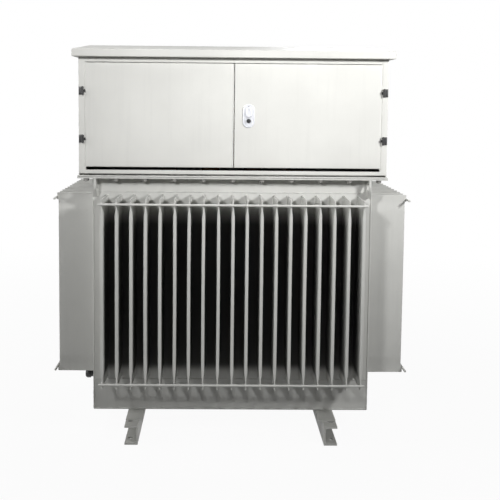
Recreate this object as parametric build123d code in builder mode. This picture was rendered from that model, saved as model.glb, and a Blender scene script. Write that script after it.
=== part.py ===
from build123d import *
import os

# Oil-filled distribution transformer with corrugated cooling walls, two base rails and a
# sheet-metal terminal cabinet on its cover. Millimetres. X runs to the right, the doors face
# -Y, Z is up. The origin is on the floor, under the middle of the tank.

# Tank
tank_length = 996
tank_width = 610
tank_wall_height = 847
bottom_plate = 4
oil_gap = 20

# Corrugated cooling walls
fin_pitch = 50
fin_margin = 48
fin_depth = 135
fin_thickness = 13
fin_sheet = 1.5
fin_flare = 6
fin_pinch = 3.6
fin_fold = 3
fin_fold_end = 0.8
fin_taper = 33
fin_weld = 9
band_below_fins = 122
band_above_fins = 63
band_plate = 4
band_lap = 12

# Rim and cover
rim_overhang = 49
rim_inner_lap = 8
rim_plate = 5
gasket = 1
gasket_inset = 5
cover_plate = 5

# Stiffening rods along the fin tips
rod_diameter = 8
rod_sides = 12
rod_overrun_front = 12
rod_overrun_side = 45

# Lifting lugs
lug_plate = 8
lug_inset = 12
lug_reach = 48
lug_drop = 67
lug_toe = 16
lug_hole = 24
lug_hole_reach = 24
lug_hole_drop = 28
lug_corner = 8

# Base rails and their pads
rail_height = 68
rail_flange = 46
rail_web = 6
rail_flange_thickness = 7
rail_root_radius = 5
rail_spacing = 652
rail_anchor_hole = 18
rail_top_hole = 18
rail_hole_inset = 43
rail_hole_edge = 17
pad_plate = 6
pad_width = 60
pad_end_inset = 46

# Drain valve
valve_rise = 22
valve_pipe = 18
valve_body = 26
valve_across_flats = 32
valve_neck = 28
valve_body_length = 30
valve_cap = 22
valve_sides = 8
valve_chamfer = 2

# Terminal cabinet
cabinet_height = 414
cabinet_inset_x = 5
cabinet_inset_y = 4
cabinet_sheet = 2
post_width = 18.5
post_return = 24
foot_flange = 22
foot_clear = 0.5
sill_gap = 6
sill_height = 14
sill_leg = 18
header_height = 14
header_leg = 22
panel_fit = 0.3

# Doors
door_gap = 5
door_meeting_gap = 6.5
door_thickness = 20
door_sheet = 2
door_lip = 14
door_bottom_gap = 10

# Hinges
hinge_end = 98.5
hinge_length = 28
hinge_knuckle = 9
hinge_pin = 4
hinge_fit = 0.05
hinge_clear = 0.5
hinge_offset = 3.5
hinge_leaf = 2
hinge_leaf_width = 14
hinge_split = 0.4

# Lock
lock_x = 53
lock_plate_width = 41
lock_plate_height = 83
lock_plate_thickness = 4
lever_width = 22
lever_length = 44
lever_lift = 12
lever_thickness = 6
cylinder_diameter = 15
cylinder_drop = 17
cylinder_stand = 8
cylinder_clear = 2
cam_length = 40
cam_width = 16
cam_plate = 3
cam_corner = 4
cam_shaft = 10

# Roof
roof_overhang_x = 18
roof_overhang_y = 33
fascia = 26
roof_sheet = 2
ridge_rise = 38

# Bushings under the roof
hv_count = 3
hv_spacing = 240
hv_y = 150
hv_height = 240
hv_body = 62
hv_shed = 92
hv_sheds = 3
shed_plate = 12
lv_count = 4
lv_spacing = 160
lv_y = -130
lv_height = 110
lv_body = 52
lv_collar = 70
bushing_foot = 16
bushing_sides = 16
stud_diameter = 12
stud_sides = 12
stud_rise = 50
palm_width = 44
palm_height = 62
palm_plate = 8
palm_hole = 14
palm_hole_rise = 42

# Levels and places worked out from the sizes above
pad_top = rail_height + pad_plate
tank_floor = pad_top + bottom_plate
tank_top = tank_floor + tank_wall_height
fin_low = tank_floor + band_below_fins
fin_high = tank_top - band_above_fins
rim_top = tank_top + rim_plate
gasket_top = rim_top + gasket
cover_top = gasket_top + cover_plate
wall_x = tank_length / 2
wall_y = tank_width / 2
fins_front = int((tank_length - 2 * fin_margin) / fin_pitch) + 1
fins_side = int((tank_width - 2 * fin_margin) / fin_pitch) + 1
rim_x = wall_x + rim_overhang
rim_y = wall_y + rim_overhang
rail_x = rail_spacing / 2
rail_length = 2 * (wall_y + fin_depth)
rail_hole_x = rail_x + rail_flange - rail_hole_edge
rail_hole_y = rail_length / 2 - rail_hole_inset
pad_length = rail_length - 2 * pad_end_inset
cabinet_x = rim_x - cabinet_inset_x
cabinet_y = rim_y - cabinet_inset_y
cabinet_depth = 2 * cabinet_y
cabinet_top = cover_top + cabinet_height
sill_bottom = cover_top + sill_gap
sill_top = sill_bottom + sill_height
header_bottom = cabinet_top - header_height
door_bottom = sill_top + door_bottom_gap
door_top = header_bottom - door_gap
post_x = cabinet_x - post_width
door_outer = post_x - door_gap
hinge_x = post_x + hinge_offset
hinge_stand = hinge_leaf + hinge_clear + hinge_knuckle / 2
hinge_y = cabinet_y + hinge_stand
hinge_levels = (door_bottom + hinge_end, door_top - hinge_end)
lock_level = (door_bottom + door_top) / 2
roof_length = 2 * (cabinet_x + roof_overhang_x)
roof_width = 2 * (cabinet_y + roof_overhang_y)


def flat_box(x0, x1, y0, y1, z0, z1):
    """A rectangular plate or block between two corners, made as a sketch that is extruded."""
    with BuildPart() as block:
        with BuildSketch(Plane.XY.offset(z0)):
            with Locations(((x0 + x1) / 2, (y0 + y1) / 2)):
                Rectangle(x1 - x0, y1 - y0)
        extrude(amount=z1 - z0)
    return block.part


def post(steps, sides, x, y, base):
    """An upright post from (diameter, low, high) of each step, its round form in even sides."""
    with BuildPart() as body:
        for diameter, low, high in steps:
            with BuildSketch(Plane.XY.offset(base + low)):
                with Locations((x, y)):
                    RegularPolygon(diameter / 2, sides)
            extrude(amount=high - low)
    return body.part


def keep(pieces, name):
    """Writes one named piece, or several like pieces that share a node, to its own file."""
    shape = pieces[0] if len(pieces) == 1 else Compound(children=list(pieces))
    shape.label = name
    export_step(shape, f"parts/{name}.step")


# A corrugated wall is one sheet folded into hollow fins. The two ends of each fin are pressed
# flat over fin_taper and welded over fin_weld, and the fold leans outwards there by fin_flare.
def pressed_outline(root, reach, lean, shut):
    """Points from the root of a fin to its edge: out by lean more at its two pressed ends."""
    end_reach = reach + lean * (1 - shut / fin_taper)
    return (
        (root, fin_low + shut),
        (end_reach, fin_low + shut),
        (reach, fin_low + fin_taper),
        (reach, fin_high - fin_taper),
        (end_reach, fin_high - shut),
        (root, fin_high - shut),
    )


def pressed_fin(wall_line, inset, shut):
    """One fin on a wall that faces -Y. inset is 0 for its outside and the sheet for its inside.

    The front view gives its thickness, the side view its depth and the plan its folded nose,
    and the fin is what the three share.
    """
    half = fin_thickness / 2 - inset
    pinch = (fin_pinch - fin_thickness) / 2
    end_half = half + pinch * (1 - shut / fin_taper)
    root = wall_line - inset
    tip = wall_line + fin_depth - inset
    with BuildPart() as fin:
        with BuildSketch(Plane.XZ.offset(root)):
            with BuildLine():
                Polyline(*pressed_outline(0, half, pinch, shut), close=True)
            make_face()
            mirror(about=Plane.YZ)
        extrude(amount=fin_depth + fin_flare)
        with BuildSketch(Plane.YZ.offset(-half)):
            with BuildLine():
                Polyline(*[(-y, z) for y, z in pressed_outline(root, tip, fin_flare, shut)], close=True)
            make_face()
        extrude(amount=2 * half, mode=Mode.INTERSECT)
        with BuildSketch(Plane.XY.offset(fin_low)):
            with BuildLine():
                Polyline(
                    (0, -root),
                    (half, -root),
                    (half, -tip + fin_fold),
                    (end_half - fin_fold_end, -tip - fin_flare),
                    (0, -tip - fin_flare),
                    close=True,
                )
            make_face()
            mirror(about=Plane.YZ)
        extrude(amount=fin_high - fin_low, mode=Mode.INTERSECT)
    return fin.part


def corrugated_wall(count, wall_line, length):
    """A folded cooling wall that faces -Y, plain at its ends and thicker at its two bands."""
    outside = pressed_fin(wall_line, 0, 0)
    inside = pressed_fin(wall_line, fin_sheet, fin_weld)
    bands = (
        (tank_floor, tank_top, fin_sheet),
        (tank_floor, fin_low - band_lap, band_plate),
        (fin_high + band_lap, tank_top, band_plate),
    )
    with BuildPart() as wall:
        for low, high, thickness in bands:
            with BuildSketch(Plane.XY.offset(low)):
                with Locations((0, -wall_line + thickness / 2)):
                    Rectangle(length, thickness)
            extrude(amount=high - low)
        with GridLocations(fin_pitch, 1, count, 1):
            add(outside)
        with GridLocations(fin_pitch, 1, count, 1):
            add(inside, mode=Mode.SUBTRACT)
    return wall.part


front_wall = corrugated_wall(fins_front, wall_y, tank_length)
side_wall = corrugated_wall(fins_side, wall_x, tank_width - 2 * band_plate)
os.makedirs("parts", exist_ok=True)
keep([front_wall], "front_corrugated_wall")
keep([front_wall.rotate(Axis.Z, 180)], "rear_corrugated_wall")
keep([side_wall.rotate(Axis.Z, 90)], "right_corrugated_wall")
keep([side_wall.rotate(Axis.Z, -90)], "left_corrugated_wall")

# The tank bottom carries the four walls, and the core, windings and oil fill the tank.
keep([flat_box(-wall_x, wall_x, -wall_y, wall_y, pad_top, tank_floor)], "tank_bottom")
oil_x = wall_x - band_plate - panel_fit
oil_y = wall_y - band_plate - panel_fit
oil = flat_box(-oil_x, oil_x, -oil_y, oil_y, tank_floor, tank_top - oil_gap)
keep([oil], "core_and_oil")

# Rim flange, gasket and cover are bolted together all round, outside the tank walls.
with BuildPart() as rim_flange:
    with BuildSketch(Plane.XY.offset(tank_top)):
        Rectangle(2 * rim_x, 2 * rim_y)
        Rectangle(tank_length - 2 * rim_inner_lap, tank_width - 2 * rim_inner_lap, mode=Mode.SUBTRACT)
    extrude(amount=rim_plate)
keep([rim_flange.part], "rim_flange")

with BuildPart() as cover_gasket:
    with BuildSketch(Plane.XY.offset(rim_top)):
        Rectangle(2 * (rim_x - gasket_inset), 2 * (rim_y - gasket_inset))
        Rectangle(tank_length, tank_width, mode=Mode.SUBTRACT)
    extrude(amount=gasket)
keep([cover_gasket.part], "cover_gasket")
keep([flat_box(-rim_x, rim_x, -rim_y, rim_y, gasket_top, cover_top)], "tank_cover")


# Two round rods cross the fin tips of each wall, one at each end of the parallel part.
def tip_rods(wall_line, half_span):
    """The upper and lower rod of a wall that faces -Y, laid against the fin tips."""
    rods = []
    for level in (fin_low + fin_taper / 2, fin_high - fin_taper / 2):
        lean = fin_flare / 2
        rod_y = -wall_line - fin_depth - lean - rod_diameter / 2 - panel_fit
        with BuildPart() as rod:
            with BuildSketch(Plane((-half_span, rod_y, level), x_dir=(0, 1, 0), z_dir=(1, 0, 0))):
                RegularPolygon(rod_diameter / 2, rod_sides)
            extrude(amount=2 * half_span)
        rods.append(rod.part)
    return rods


span_front = (fins_front - 1) / 2 * fin_pitch + rod_overrun_front
span_side = (fins_side - 1) / 2 * fin_pitch + rod_overrun_side
front_rods = tip_rods(wall_y, span_front)
side_rods = tip_rods(wall_x, span_side)
keep(front_rods, "front_fin_rods")
keep([rod.rotate(Axis.Z, 180) for rod in front_rods], "rear_fin_rods")
keep([rod.rotate(Axis.Z, 90) for rod in side_rods], "right_fin_rods")
keep([rod.rotate(Axis.Z, -90) for rod in side_rods], "left_fin_rods")

# A lifting lug stands on the front and rear wall at each corner, under the rim.
lug_x = wall_x - lug_inset
lug_hole_y = wall_y + lug_hole_reach
lug_hole_z = tank_top - lug_hole_drop
lugs = []
with BuildPart() as lug:
    with BuildSketch(Plane.YZ.offset(lug_x - lug_plate / 2)) as lug_sketch:
        with BuildLine():
            Polyline(
                (-wall_y, tank_top),
                (-wall_y - lug_reach, tank_top),
                (-wall_y - lug_reach, tank_top - lug_drop / 2),
                (-wall_y - lug_toe, tank_top - lug_drop),
                (-wall_y, tank_top - lug_drop),
                close=True,
            )
        make_face()
        outer_corners = lug_sketch.vertices().group_by(Axis.X)[0]
        chamfer(outer_corners.sort_by(Axis.Y)[0], lug_corner)
        with Locations((-lug_hole_y, lug_hole_z)):
            Circle(lug_hole / 2, mode=Mode.SUBTRACT)
    extrude(amount=lug_plate)
for mirror_x in (False, True):
    for mirror_y in (False, True):
        piece = lug.part
        if mirror_x:
            piece = piece.mirror(Plane.YZ)
        if mirror_y:
            piece = piece.mirror(Plane.XZ)
        lugs.append(piece)
keep(lugs, "lifting_lugs")

# Base rails are channels that stand on the floor with their flanges outwards.
with BuildPart() as rail:
    with BuildSketch(Plane.XZ.offset(rail_length / 2)) as rail_section:
        with BuildLine():
            Polyline(
                (rail_x, 0),
                (rail_x + rail_flange, 0),
                (rail_x + rail_flange, rail_flange_thickness),
                (rail_x + rail_web, rail_flange_thickness),
                (rail_x + rail_web, rail_height - rail_flange_thickness),
                (rail_x + rail_flange, rail_height - rail_flange_thickness),
                (rail_x + rail_flange, rail_height),
                (rail_x, rail_height),
                close=True,
            )
        make_face()
        roots = rail_section.vertices().group_by(Axis.X)[1]
        fillet(roots, rail_root_radius)
    extrude(amount=-rail_length)
    hole_spots = [(rail_hole_x, rail_hole_y), (rail_hole_x, -rail_hole_y)]
    for level, diameter in (
        (0, rail_anchor_hole),
        (rail_height - rail_flange_thickness, rail_top_hole),
    ):
        with BuildSketch(Plane.XY.offset(level)):
            with Locations(*hole_spots):
                Circle(diameter / 2)
        extrude(amount=rail_flange_thickness, mode=Mode.SUBTRACT)
keep([rail.part], "right_base_rail")
keep([rail.part.mirror(Plane.YZ)], "left_base_rail")

pads = []
for side in (-1, 1):
    middle = side * (rail_x + rail_flange - pad_width / 2)
    pads.append(
        flat_box(
            middle - pad_width / 2,
            middle + pad_width / 2,
            -pad_length / 2,
            pad_length / 2,
            rail_height,
            pad_top,
        )
    )
keep(pads, "rail_pads")

# The drain valve stands out of the left wall, close above the tank bottom.
with BuildPart() as drain_valve:
    with BuildSketch(Plane((-wall_x, 0, tank_floor + valve_rise), x_dir=(0, 1, 0), z_dir=(-1, 0, 0))):
        Circle(valve_pipe / 2)
    extrude(amount=valve_neck)
    with BuildSketch(drain_valve.faces().sort_by(Axis.X)[0]):
        Circle(valve_body / 2)
    extrude(amount=valve_body_length)
    with BuildSketch(drain_valve.faces().sort_by(Axis.X)[0]):
        RegularPolygon(valve_across_flats / 2, valve_sides, major_radius=False, rotation=180 / valve_sides)
    extrude(amount=valve_cap)
    rim_edges = drain_valve.faces().sort_by(Axis.X)[0].edges()
    chamfer(rim_edges, valve_chamfer)
keep([drain_valve.part], "drain_valve")


# Each cabinet side is one folded sheet: front post, outer skin and rear return, on a foot.
with BuildPart() as cabinet_side:
    with BuildSketch(Plane.XY.offset(sill_top)):
        with BuildLine():
            Polyline(
                (-post_x, -cabinet_y + post_return),
                (-post_x, -cabinet_y),
                (-cabinet_x, -cabinet_y),
                (-cabinet_x, cabinet_y),
                (-post_x, cabinet_y),
                (-post_x, cabinet_y - cabinet_sheet),
                (-cabinet_x + cabinet_sheet, cabinet_y - cabinet_sheet),
                (-cabinet_x + cabinet_sheet, -cabinet_y + cabinet_sheet),
                (-post_x - cabinet_sheet, -cabinet_y + cabinet_sheet),
                (-post_x - cabinet_sheet, -cabinet_y + post_return),
                close=True,
            )
        make_face()
    extrude(amount=cabinet_top - sill_top)
    skin_x = -cabinet_x + cabinet_sheet / 2
    with BuildSketch(Plane.XY.offset(cover_top)):
        with Locations((skin_x, 0)):
            Rectangle(cabinet_sheet, cabinet_depth)
    extrude(amount=sill_top - cover_top)
    with BuildSketch(Plane.XY.offset(cover_top)):
        with Locations((-cabinet_x + foot_flange / 2, 0)):
            Rectangle(foot_flange, cabinet_depth - 2 * sill_leg)
    extrude(amount=cabinet_sheet)
keep([cabinet_side.part], "cabinet_left_side")
keep([cabinet_side.part.mirror(Plane.YZ)], "cabinet_right_side")

# The back panel lies inside the rear returns, with a flange along its foot and its head.
back_x = cabinet_x - cabinet_sheet - panel_fit
back_y = cabinet_y - cabinet_sheet - panel_fit
with BuildPart() as cabinet_back:
    with BuildSketch(Plane.YZ.offset(-back_x)):
        with BuildLine():
            Polyline(
                (back_y - foot_flange, cover_top),
                (back_y, cover_top),
                (back_y, cabinet_top),
                (back_y - foot_flange, cabinet_top),
                (back_y - foot_flange, cabinet_top - cabinet_sheet),
                (back_y - cabinet_sheet, cabinet_top - cabinet_sheet),
                (back_y - cabinet_sheet, cover_top + cabinet_sheet),
                (back_y - foot_flange, cover_top + cabinet_sheet),
                close=True,
            )
        make_face()
    extrude(amount=2 * back_x)
    with BuildSketch(Plane.XY.offset(cover_top)):
        for side in (-1, 1):
            with Locations((side * (back_x - foot_flange / 2), back_y - foot_flange / 2)):
                Rectangle(foot_flange + 2 * foot_clear, foot_flange + 2 * foot_clear)
    extrude(amount=cabinet_sheet, mode=Mode.SUBTRACT)
keep([cabinet_back.part], "cabinet_back")

# Sill and header are folded angles that join the two sides across the door opening.
with BuildPart() as sill:
    with BuildSketch(Plane.YZ.offset(-cabinet_x + cabinet_sheet)):
        with BuildLine():
            Polyline(
                (-cabinet_y, sill_bottom),
                (-cabinet_y, sill_top),
                (-cabinet_y + cabinet_sheet, sill_top),
                (-cabinet_y + cabinet_sheet, sill_bottom + cabinet_sheet),
                (-cabinet_y + sill_leg, sill_bottom + cabinet_sheet),
                (-cabinet_y + sill_leg, sill_bottom),
                close=True,
            )
        make_face()
    extrude(amount=2 * (cabinet_x - cabinet_sheet))
keep([sill.part], "cabinet_sill")

with BuildPart() as header:
    with BuildSketch(Plane.YZ.offset(-post_x)):
        with BuildLine():
            Polyline(
                (-cabinet_y, header_bottom),
                (-cabinet_y, cabinet_top),
                (-cabinet_y + header_leg, cabinet_top),
                (-cabinet_y + header_leg, cabinet_top - cabinet_sheet),
                (-cabinet_y + cabinet_sheet, cabinet_top - cabinet_sheet),
                (-cabinet_y + cabinet_sheet, header_bottom),
                close=True,
            )
        make_face()
    extrude(amount=2 * post_x)
keep([header.part], "cabinet_header")

# The rain roof is a shallow gable of folded sheet with a fascia all round. Its soffit is turned
# in under the fascia and lies on the sides, the back and the header of the cabinet.
def roof_block(inset):
    """The gable as a solid block, drawn in by inset on every side."""
    half_width = roof_width / 2 - inset
    eaves = cabinet_top + fascia - inset
    with BuildPart() as block:
        with BuildSketch(Plane.YZ.offset(-roof_length / 2 + inset)):
            with BuildLine():
                Polyline(
                    (-half_width, cabinet_top + inset),
                    (half_width, cabinet_top + inset),
                    (half_width, eaves),
                    (0, eaves + ridge_rise),
                    (-half_width, eaves),
                    close=True,
                )
            make_face()
        extrude(amount=roof_length - 2 * inset)
    return block.part


with BuildPart() as roof:
    add(roof_block(0))
    add(roof_block(roof_sheet), mode=Mode.SUBTRACT)
    with BuildSketch(Plane.XY.offset(cabinet_top)):
        Rectangle(2 * (cabinet_x - foot_flange), 2 * (cabinet_y - foot_flange))
    extrude(amount=roof_sheet, mode=Mode.SUBTRACT)
keep([roof.part], "cabinet_roof")


# A door is a folded pan: face, four edges and an inner lip all round.
def door_pan():
    """The left door, closed, with its face on the front plane of the cabinet."""
    left = -door_outer
    right = -door_meeting_gap / 2
    middle_x = (left + right) / 2
    middle_z = (door_bottom + door_top) / 2
    width = right - left
    height = door_top - door_bottom
    with BuildPart() as door:
        with BuildSketch(Plane.XZ.offset(cabinet_y)):
            with Locations((middle_x, middle_z)):
                Rectangle(width, height)
        extrude(amount=-door_thickness)
        with BuildSketch(Plane.XZ.offset(cabinet_y - door_sheet)):
            with Locations((middle_x, middle_z)):
                Rectangle(width - 2 * door_sheet, height - 2 * door_sheet)
        extrude(amount=-door_thickness + 2 * door_sheet, mode=Mode.SUBTRACT)
        with BuildSketch(Plane.XZ.offset(cabinet_y - door_thickness + door_sheet)):
            with Locations((middle_x, middle_z)):
                Rectangle(width - 2 * door_lip, height - 2 * door_lip)
        extrude(amount=-door_sheet, mode=Mode.SUBTRACT)
    return door.part


left_door = door_pan()
right_door = left_door.mirror(Plane.YZ)

# The lock shaft passes through the right door, and the cylinder has a hole of its own.
lock_front = Plane.XZ.offset(cabinet_y)
cylinder_level = lock_level - cylinder_drop
shaft_level = lock_level + cylinder_drop
with BuildPart() as lock_holes:
    with BuildSketch(lock_front):
        with Locations((lock_x, cylinder_level)):
            Circle(cylinder_diameter / 2 + panel_fit)
        with Locations((lock_x, shaft_level)):
            Circle(cam_shaft / 2 + panel_fit)
    extrude(amount=-door_sheet)
right_door = right_door - lock_holes.part
keep([left_door], "left_door")
keep([right_door], "right_door")


# Hinges: the middle knuckle rides on the door, the outer two and the pin belong to the post.
def hinge_pieces(level):
    """Door leaf and post leaf of the left hinge at one level."""
    third = hinge_length / 3
    bottom = level - hinge_length / 2
    bore = hinge_pin / 2 + hinge_fit
    with BuildPart() as post_leaf:
        with BuildSketch(Plane.XY.offset(bottom)):
            with Locations((-hinge_x - hinge_leaf_width / 2, -cabinet_y - hinge_leaf / 2)):
                Rectangle(hinge_leaf_width, hinge_leaf)
        extrude(amount=hinge_length)
        for knuckle_low in (bottom, bottom + 2 * third + hinge_split):
            with BuildSketch(Plane.XY.offset(knuckle_low)):
                with Locations((-hinge_x, -hinge_y)):
                    Circle(hinge_knuckle / 2)
                with Locations((-hinge_x - hinge_knuckle / 4, -cabinet_y - hinge_stand / 2)):
                    Rectangle(hinge_knuckle / 2, hinge_stand)
            extrude(amount=third - hinge_split)
        with BuildSketch(Plane.XY.offset(bottom)):
            with Locations((-hinge_x, -hinge_y)):
                Circle(hinge_pin / 2)
        extrude(amount=hinge_length)
    with BuildPart() as door_leaf:
        with BuildSketch(Plane.XY.offset(bottom + third)):
            with Locations((-hinge_x, -hinge_y)):
                Circle(hinge_knuckle / 2)
            with BuildLine():
                Polyline(
                    (-hinge_x, -hinge_y - hinge_leaf),
                    (-door_outer, -hinge_y - hinge_leaf),
                    (-door_outer, -cabinet_y + door_thickness),
                    (-door_outer - hinge_leaf, -cabinet_y + door_thickness),
                    (-door_outer - hinge_leaf, -hinge_y + hinge_leaf),
                    (-hinge_x, -hinge_y + hinge_leaf),
                    close=True,
                )
            make_face()
            with Locations((-hinge_x, -hinge_y)):
                Circle(bore, mode=Mode.SUBTRACT)
        extrude(amount=third)
    return door_leaf.part, post_leaf.part


hinges = [hinge_pieces(level) for level in hinge_levels]
door_leaves = [pieces[0] for pieces in hinges]
post_leaves = [pieces[1] for pieces in hinges]
keep(door_leaves, "left_door_hinges")
keep(post_leaves, "left_post_hinges")
keep([leaf.mirror(Plane.YZ) for leaf in door_leaves], "right_door_hinges")
keep([leaf.mirror(Plane.YZ) for leaf in post_leaves], "right_post_hinges")

# The lock is a rounded plate with a lever in its upper half and a key cylinder below.
with BuildPart() as lock_plate:
    with BuildSketch(lock_front):
        with Locations((lock_x, lock_level)):
            SlotOverall(lock_plate_height, lock_plate_width, rotation=90)
        with Locations((lock_x, cylinder_level)):
            Circle(cylinder_diameter / 2 + panel_fit, mode=Mode.SUBTRACT)
        with Locations((lock_x, shaft_level)):
            Circle(cam_shaft / 2 + panel_fit, mode=Mode.SUBTRACT)
    extrude(amount=lock_plate_thickness)
keep([lock_plate.part], "lock_plate")

with BuildPart() as lock_lever:
    with BuildSketch(lock_front.offset(lock_plate_thickness + panel_fit)):
        with Locations((lock_x, shaft_level - lever_length / 2 + lever_lift)):
            SlotOverall(lever_length, lever_width, rotation=90)
        with Locations((lock_x, cylinder_level)):
            Circle(cylinder_diameter / 2 + cylinder_clear, mode=Mode.SUBTRACT)
    extrude(amount=lever_thickness)
    with BuildSketch(lock_front.offset(lock_plate_thickness + panel_fit)):
        with Locations((lock_x, shaft_level)):
            Circle(cam_shaft / 2)
    extrude(amount=-lock_plate_thickness - panel_fit - door_thickness)
keep([lock_lever.part], "lock_lever")

with BuildPart() as lock_cylinder:
    with BuildSketch(lock_front.offset(lock_plate_thickness + cylinder_stand)):
        with Locations((lock_x, cylinder_level)):
            Circle(cylinder_diameter / 2)
    extrude(amount=-lock_plate_thickness - cylinder_stand - door_thickness / 2)
keep([lock_cylinder.part], "lock_cylinder")

# Behind the door the lock turns a flat cam, drawn clear of the other door.
with BuildPart() as lock_cam:
    with BuildSketch(lock_front.offset(-door_thickness - panel_fit)) as cam_sketch:
        with Locations((lock_x, shaft_level - cam_length / 2 + cam_width / 2)):
            Rectangle(cam_width, cam_length)
        chamfer(cam_sketch.vertices(), cam_corner)
    extrude(amount=-cam_plate)
keep([lock_cam.part], "lock_cam")

# Three tall bushings with sheds stand at the back of the cover, and four short ones in front.
shed_step = (hv_height - bushing_foot) / (hv_sheds + 1)
hv_steps = [(hv_body, 0, hv_height), (hv_shed, 0, bushing_foot)]
for index in range(hv_sheds):
    shed_low = bushing_foot + shed_step * (index + 1)
    hv_steps.append((hv_shed, shed_low, shed_low + shed_plate))
lv_steps = [(lv_body, 0, lv_height), (lv_collar, 0, bushing_foot)]
hv_places = [(hv_spacing * (index - (hv_count - 1) / 2), hv_y) for index in range(hv_count)]
lv_places = [(lv_spacing * (index - (lv_count - 1) / 2), lv_y) for index in range(lv_count)]
hv_posts = [post(hv_steps, bushing_sides, x, y, cover_top) for x, y in hv_places]
lv_posts = [post(lv_steps, bushing_sides, x, y, cover_top) for x, y in lv_places]
keep(hv_posts, "high_voltage_bushings")
keep(lv_posts, "low_voltage_bushings")

# A plain stud stands on each high-voltage bushing.
stud_steps = [(stud_diameter, 0, stud_rise)]
studs = [post(stud_steps, stud_sides, x, y, cover_top + hv_height) for x, y in hv_places]
keep(studs, "high_voltage_studs")


def palm(x, y, base):
    """A flat terminal palm that stands on a low-voltage bushing."""
    with BuildPart() as flag:
        with BuildSketch(Plane.XZ.offset(-y - palm_plate / 2)):
            with Locations((x, base + palm_height / 2)):
                Rectangle(palm_width, palm_height)
            with Locations((x, base + palm_hole_rise)):
                Circle(palm_hole / 2, mode=Mode.SUBTRACT)
        extrude(amount=palm_plate)
    return flag.part


keep([palm(x, y, cover_top + lv_height) for x, y in lv_places], "low_voltage_palms")
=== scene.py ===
import math
import bmesh
import bpy
import numpy as np
from mathutils import Matrix, Vector


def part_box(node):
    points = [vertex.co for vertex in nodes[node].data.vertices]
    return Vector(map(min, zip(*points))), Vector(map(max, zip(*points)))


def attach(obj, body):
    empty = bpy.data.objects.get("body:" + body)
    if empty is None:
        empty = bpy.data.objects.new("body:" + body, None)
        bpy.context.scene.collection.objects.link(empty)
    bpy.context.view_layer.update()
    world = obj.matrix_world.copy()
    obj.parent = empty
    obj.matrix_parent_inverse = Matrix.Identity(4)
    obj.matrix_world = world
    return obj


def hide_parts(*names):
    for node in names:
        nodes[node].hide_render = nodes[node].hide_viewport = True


# Looks of an oil-filled transformer: a tank with folded cooling fins on two channel rails, and a
# sheet-metal terminal cabinet with two doors on its cover. Metres, in the frame of the CAD model.
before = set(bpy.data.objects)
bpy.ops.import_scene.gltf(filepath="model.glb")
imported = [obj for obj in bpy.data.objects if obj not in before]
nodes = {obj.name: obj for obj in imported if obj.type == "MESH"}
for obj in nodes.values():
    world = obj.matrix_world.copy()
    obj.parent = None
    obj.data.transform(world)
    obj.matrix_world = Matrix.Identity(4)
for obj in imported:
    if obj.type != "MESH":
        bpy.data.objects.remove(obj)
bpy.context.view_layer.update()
MM = 0.001

# Cooling fins
fin_pitch = 50 * MM
fin_depth = 135 * MM
fin_half = 5.4 * MM
fin_end_half = 1.8 * MM
nose_edge = 0.42
fin_flare = 6 * MM
fin_taper = 33 * MM
fin_pinch = 60 * MM
fin_weld = 24 * MM
fin_root = 4 * MM
fins_front = 19
fins_side = 11
bow_limit = 1.3 * MM
rod_radius = 4 * MM

# Bands, welds and painted gap shade of the walls
band_below = 122 * MM
band_above = 63 * MM
wall_plate = 4 * MM
skirt = 12 * MM
weld_bead = 2.6 * MM
weld_ripple = 7 * MM
long_weld = 2.2 * MM
end_weld_inset = 1.2 * MM
end_weld_setback = 1 * MM
rod_weld_setback = 3 * MM
# Painted shade: how far into the gaps between fins the paint darkens, and how it fades out near the fin ends
shade_past = 1 * MM
shade_from = 9 * MM
shade_full = 48 * MM
unshaded_end = 14 * MM
top_shade_full = 110 * MM

# Rim, cover bolts and lugs
plate_edge = 1.2 * MM
rim_lap = 8 * MM
bolt_pitch = 103.8 * MM
side_bolt_pitch = 110 * MM
bolt_inset = 24 * MM
nut_flats = 18 * MM
nut_height = 8 * MM
washer_radius = 11 * MM
washer_plate = 2 * MM
washer_ease = 0.6 * MM
bolt_radius = 5 * MM
bolt_end = 3 * MM
bolt_ease = 1.5 * MM
lug_plate = 8 * MM
lug_corner = 6 * MM
lug_weld = 3 * MM

# Sheet metal of the cabinet
sheet = 2 * MM
door_sheet = 1.8 * MM
door_wave = 0.9 * MM
fold_radius = 3 * MM
door_lip = 14 * MM
post_return = 24 * MM
flange_leg = 22 * MM
sill_leg = 18 * MM
header_leg = 22 * MM
fascia = 26 * MM
roof_fold = 2.4 * MM
edge_ease = 0.3 * MM
foot_ease = 0.4 * MM
merge_gap = 0.02 * MM


# Surfaces worked out as whole arrays
def mm(*rows):
    """Numbers or points given in millimetres, as an array in metres."""
    return np.array(rows, float) * MM


def grid_faces(rows, columns, closed_rows=False, closed_columns=False):
    """Quads between neighbours of a rows x columns grid: each joins a point, the next column, the
    point one row and one column on, and the next row."""
    row = np.arange(rows if closed_rows else rows - 1)[:, None]
    column = np.arange(columns if closed_columns else columns - 1)[None, :]
    next_row = (row + 1) % rows
    next_column = (column + 1) % columns
    corners = ((row, column), (row, next_column), (next_row, next_column), (next_row, column))
    return np.stack([r * columns + c for r, c in corners], axis=-1).reshape(-1, 4)


def smooth_step(t):
    """The S-shaped rise 3t^2 - 2t^3 of t held between 0 and 1."""
    t = np.clip(t, 0, 1)
    return t * t * (3 - 2 * t)


def grid_part(points, closed_rows=False, closed_columns=False, caps=False):
    """A surface from a rows x columns array of points, and its first and last row filled if caps."""
    rows, columns = points.shape[:2]
    faces = grid_faces(rows, columns, closed_rows, closed_columns).tolist()
    if caps:
        faces.append(list(range(columns))[::-1])
        faces.append([(rows - 1) * columns + i for i in range(columns)])
    return points.reshape(-1, 3), faces


def surface(x, y, z, **closing):
    """A grid part from its three coordinates, each an array or a number that fills the grid."""
    return grid_part(np.stack(np.broadcast_arrays(x, y, z), axis=-1), **closing)


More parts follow.
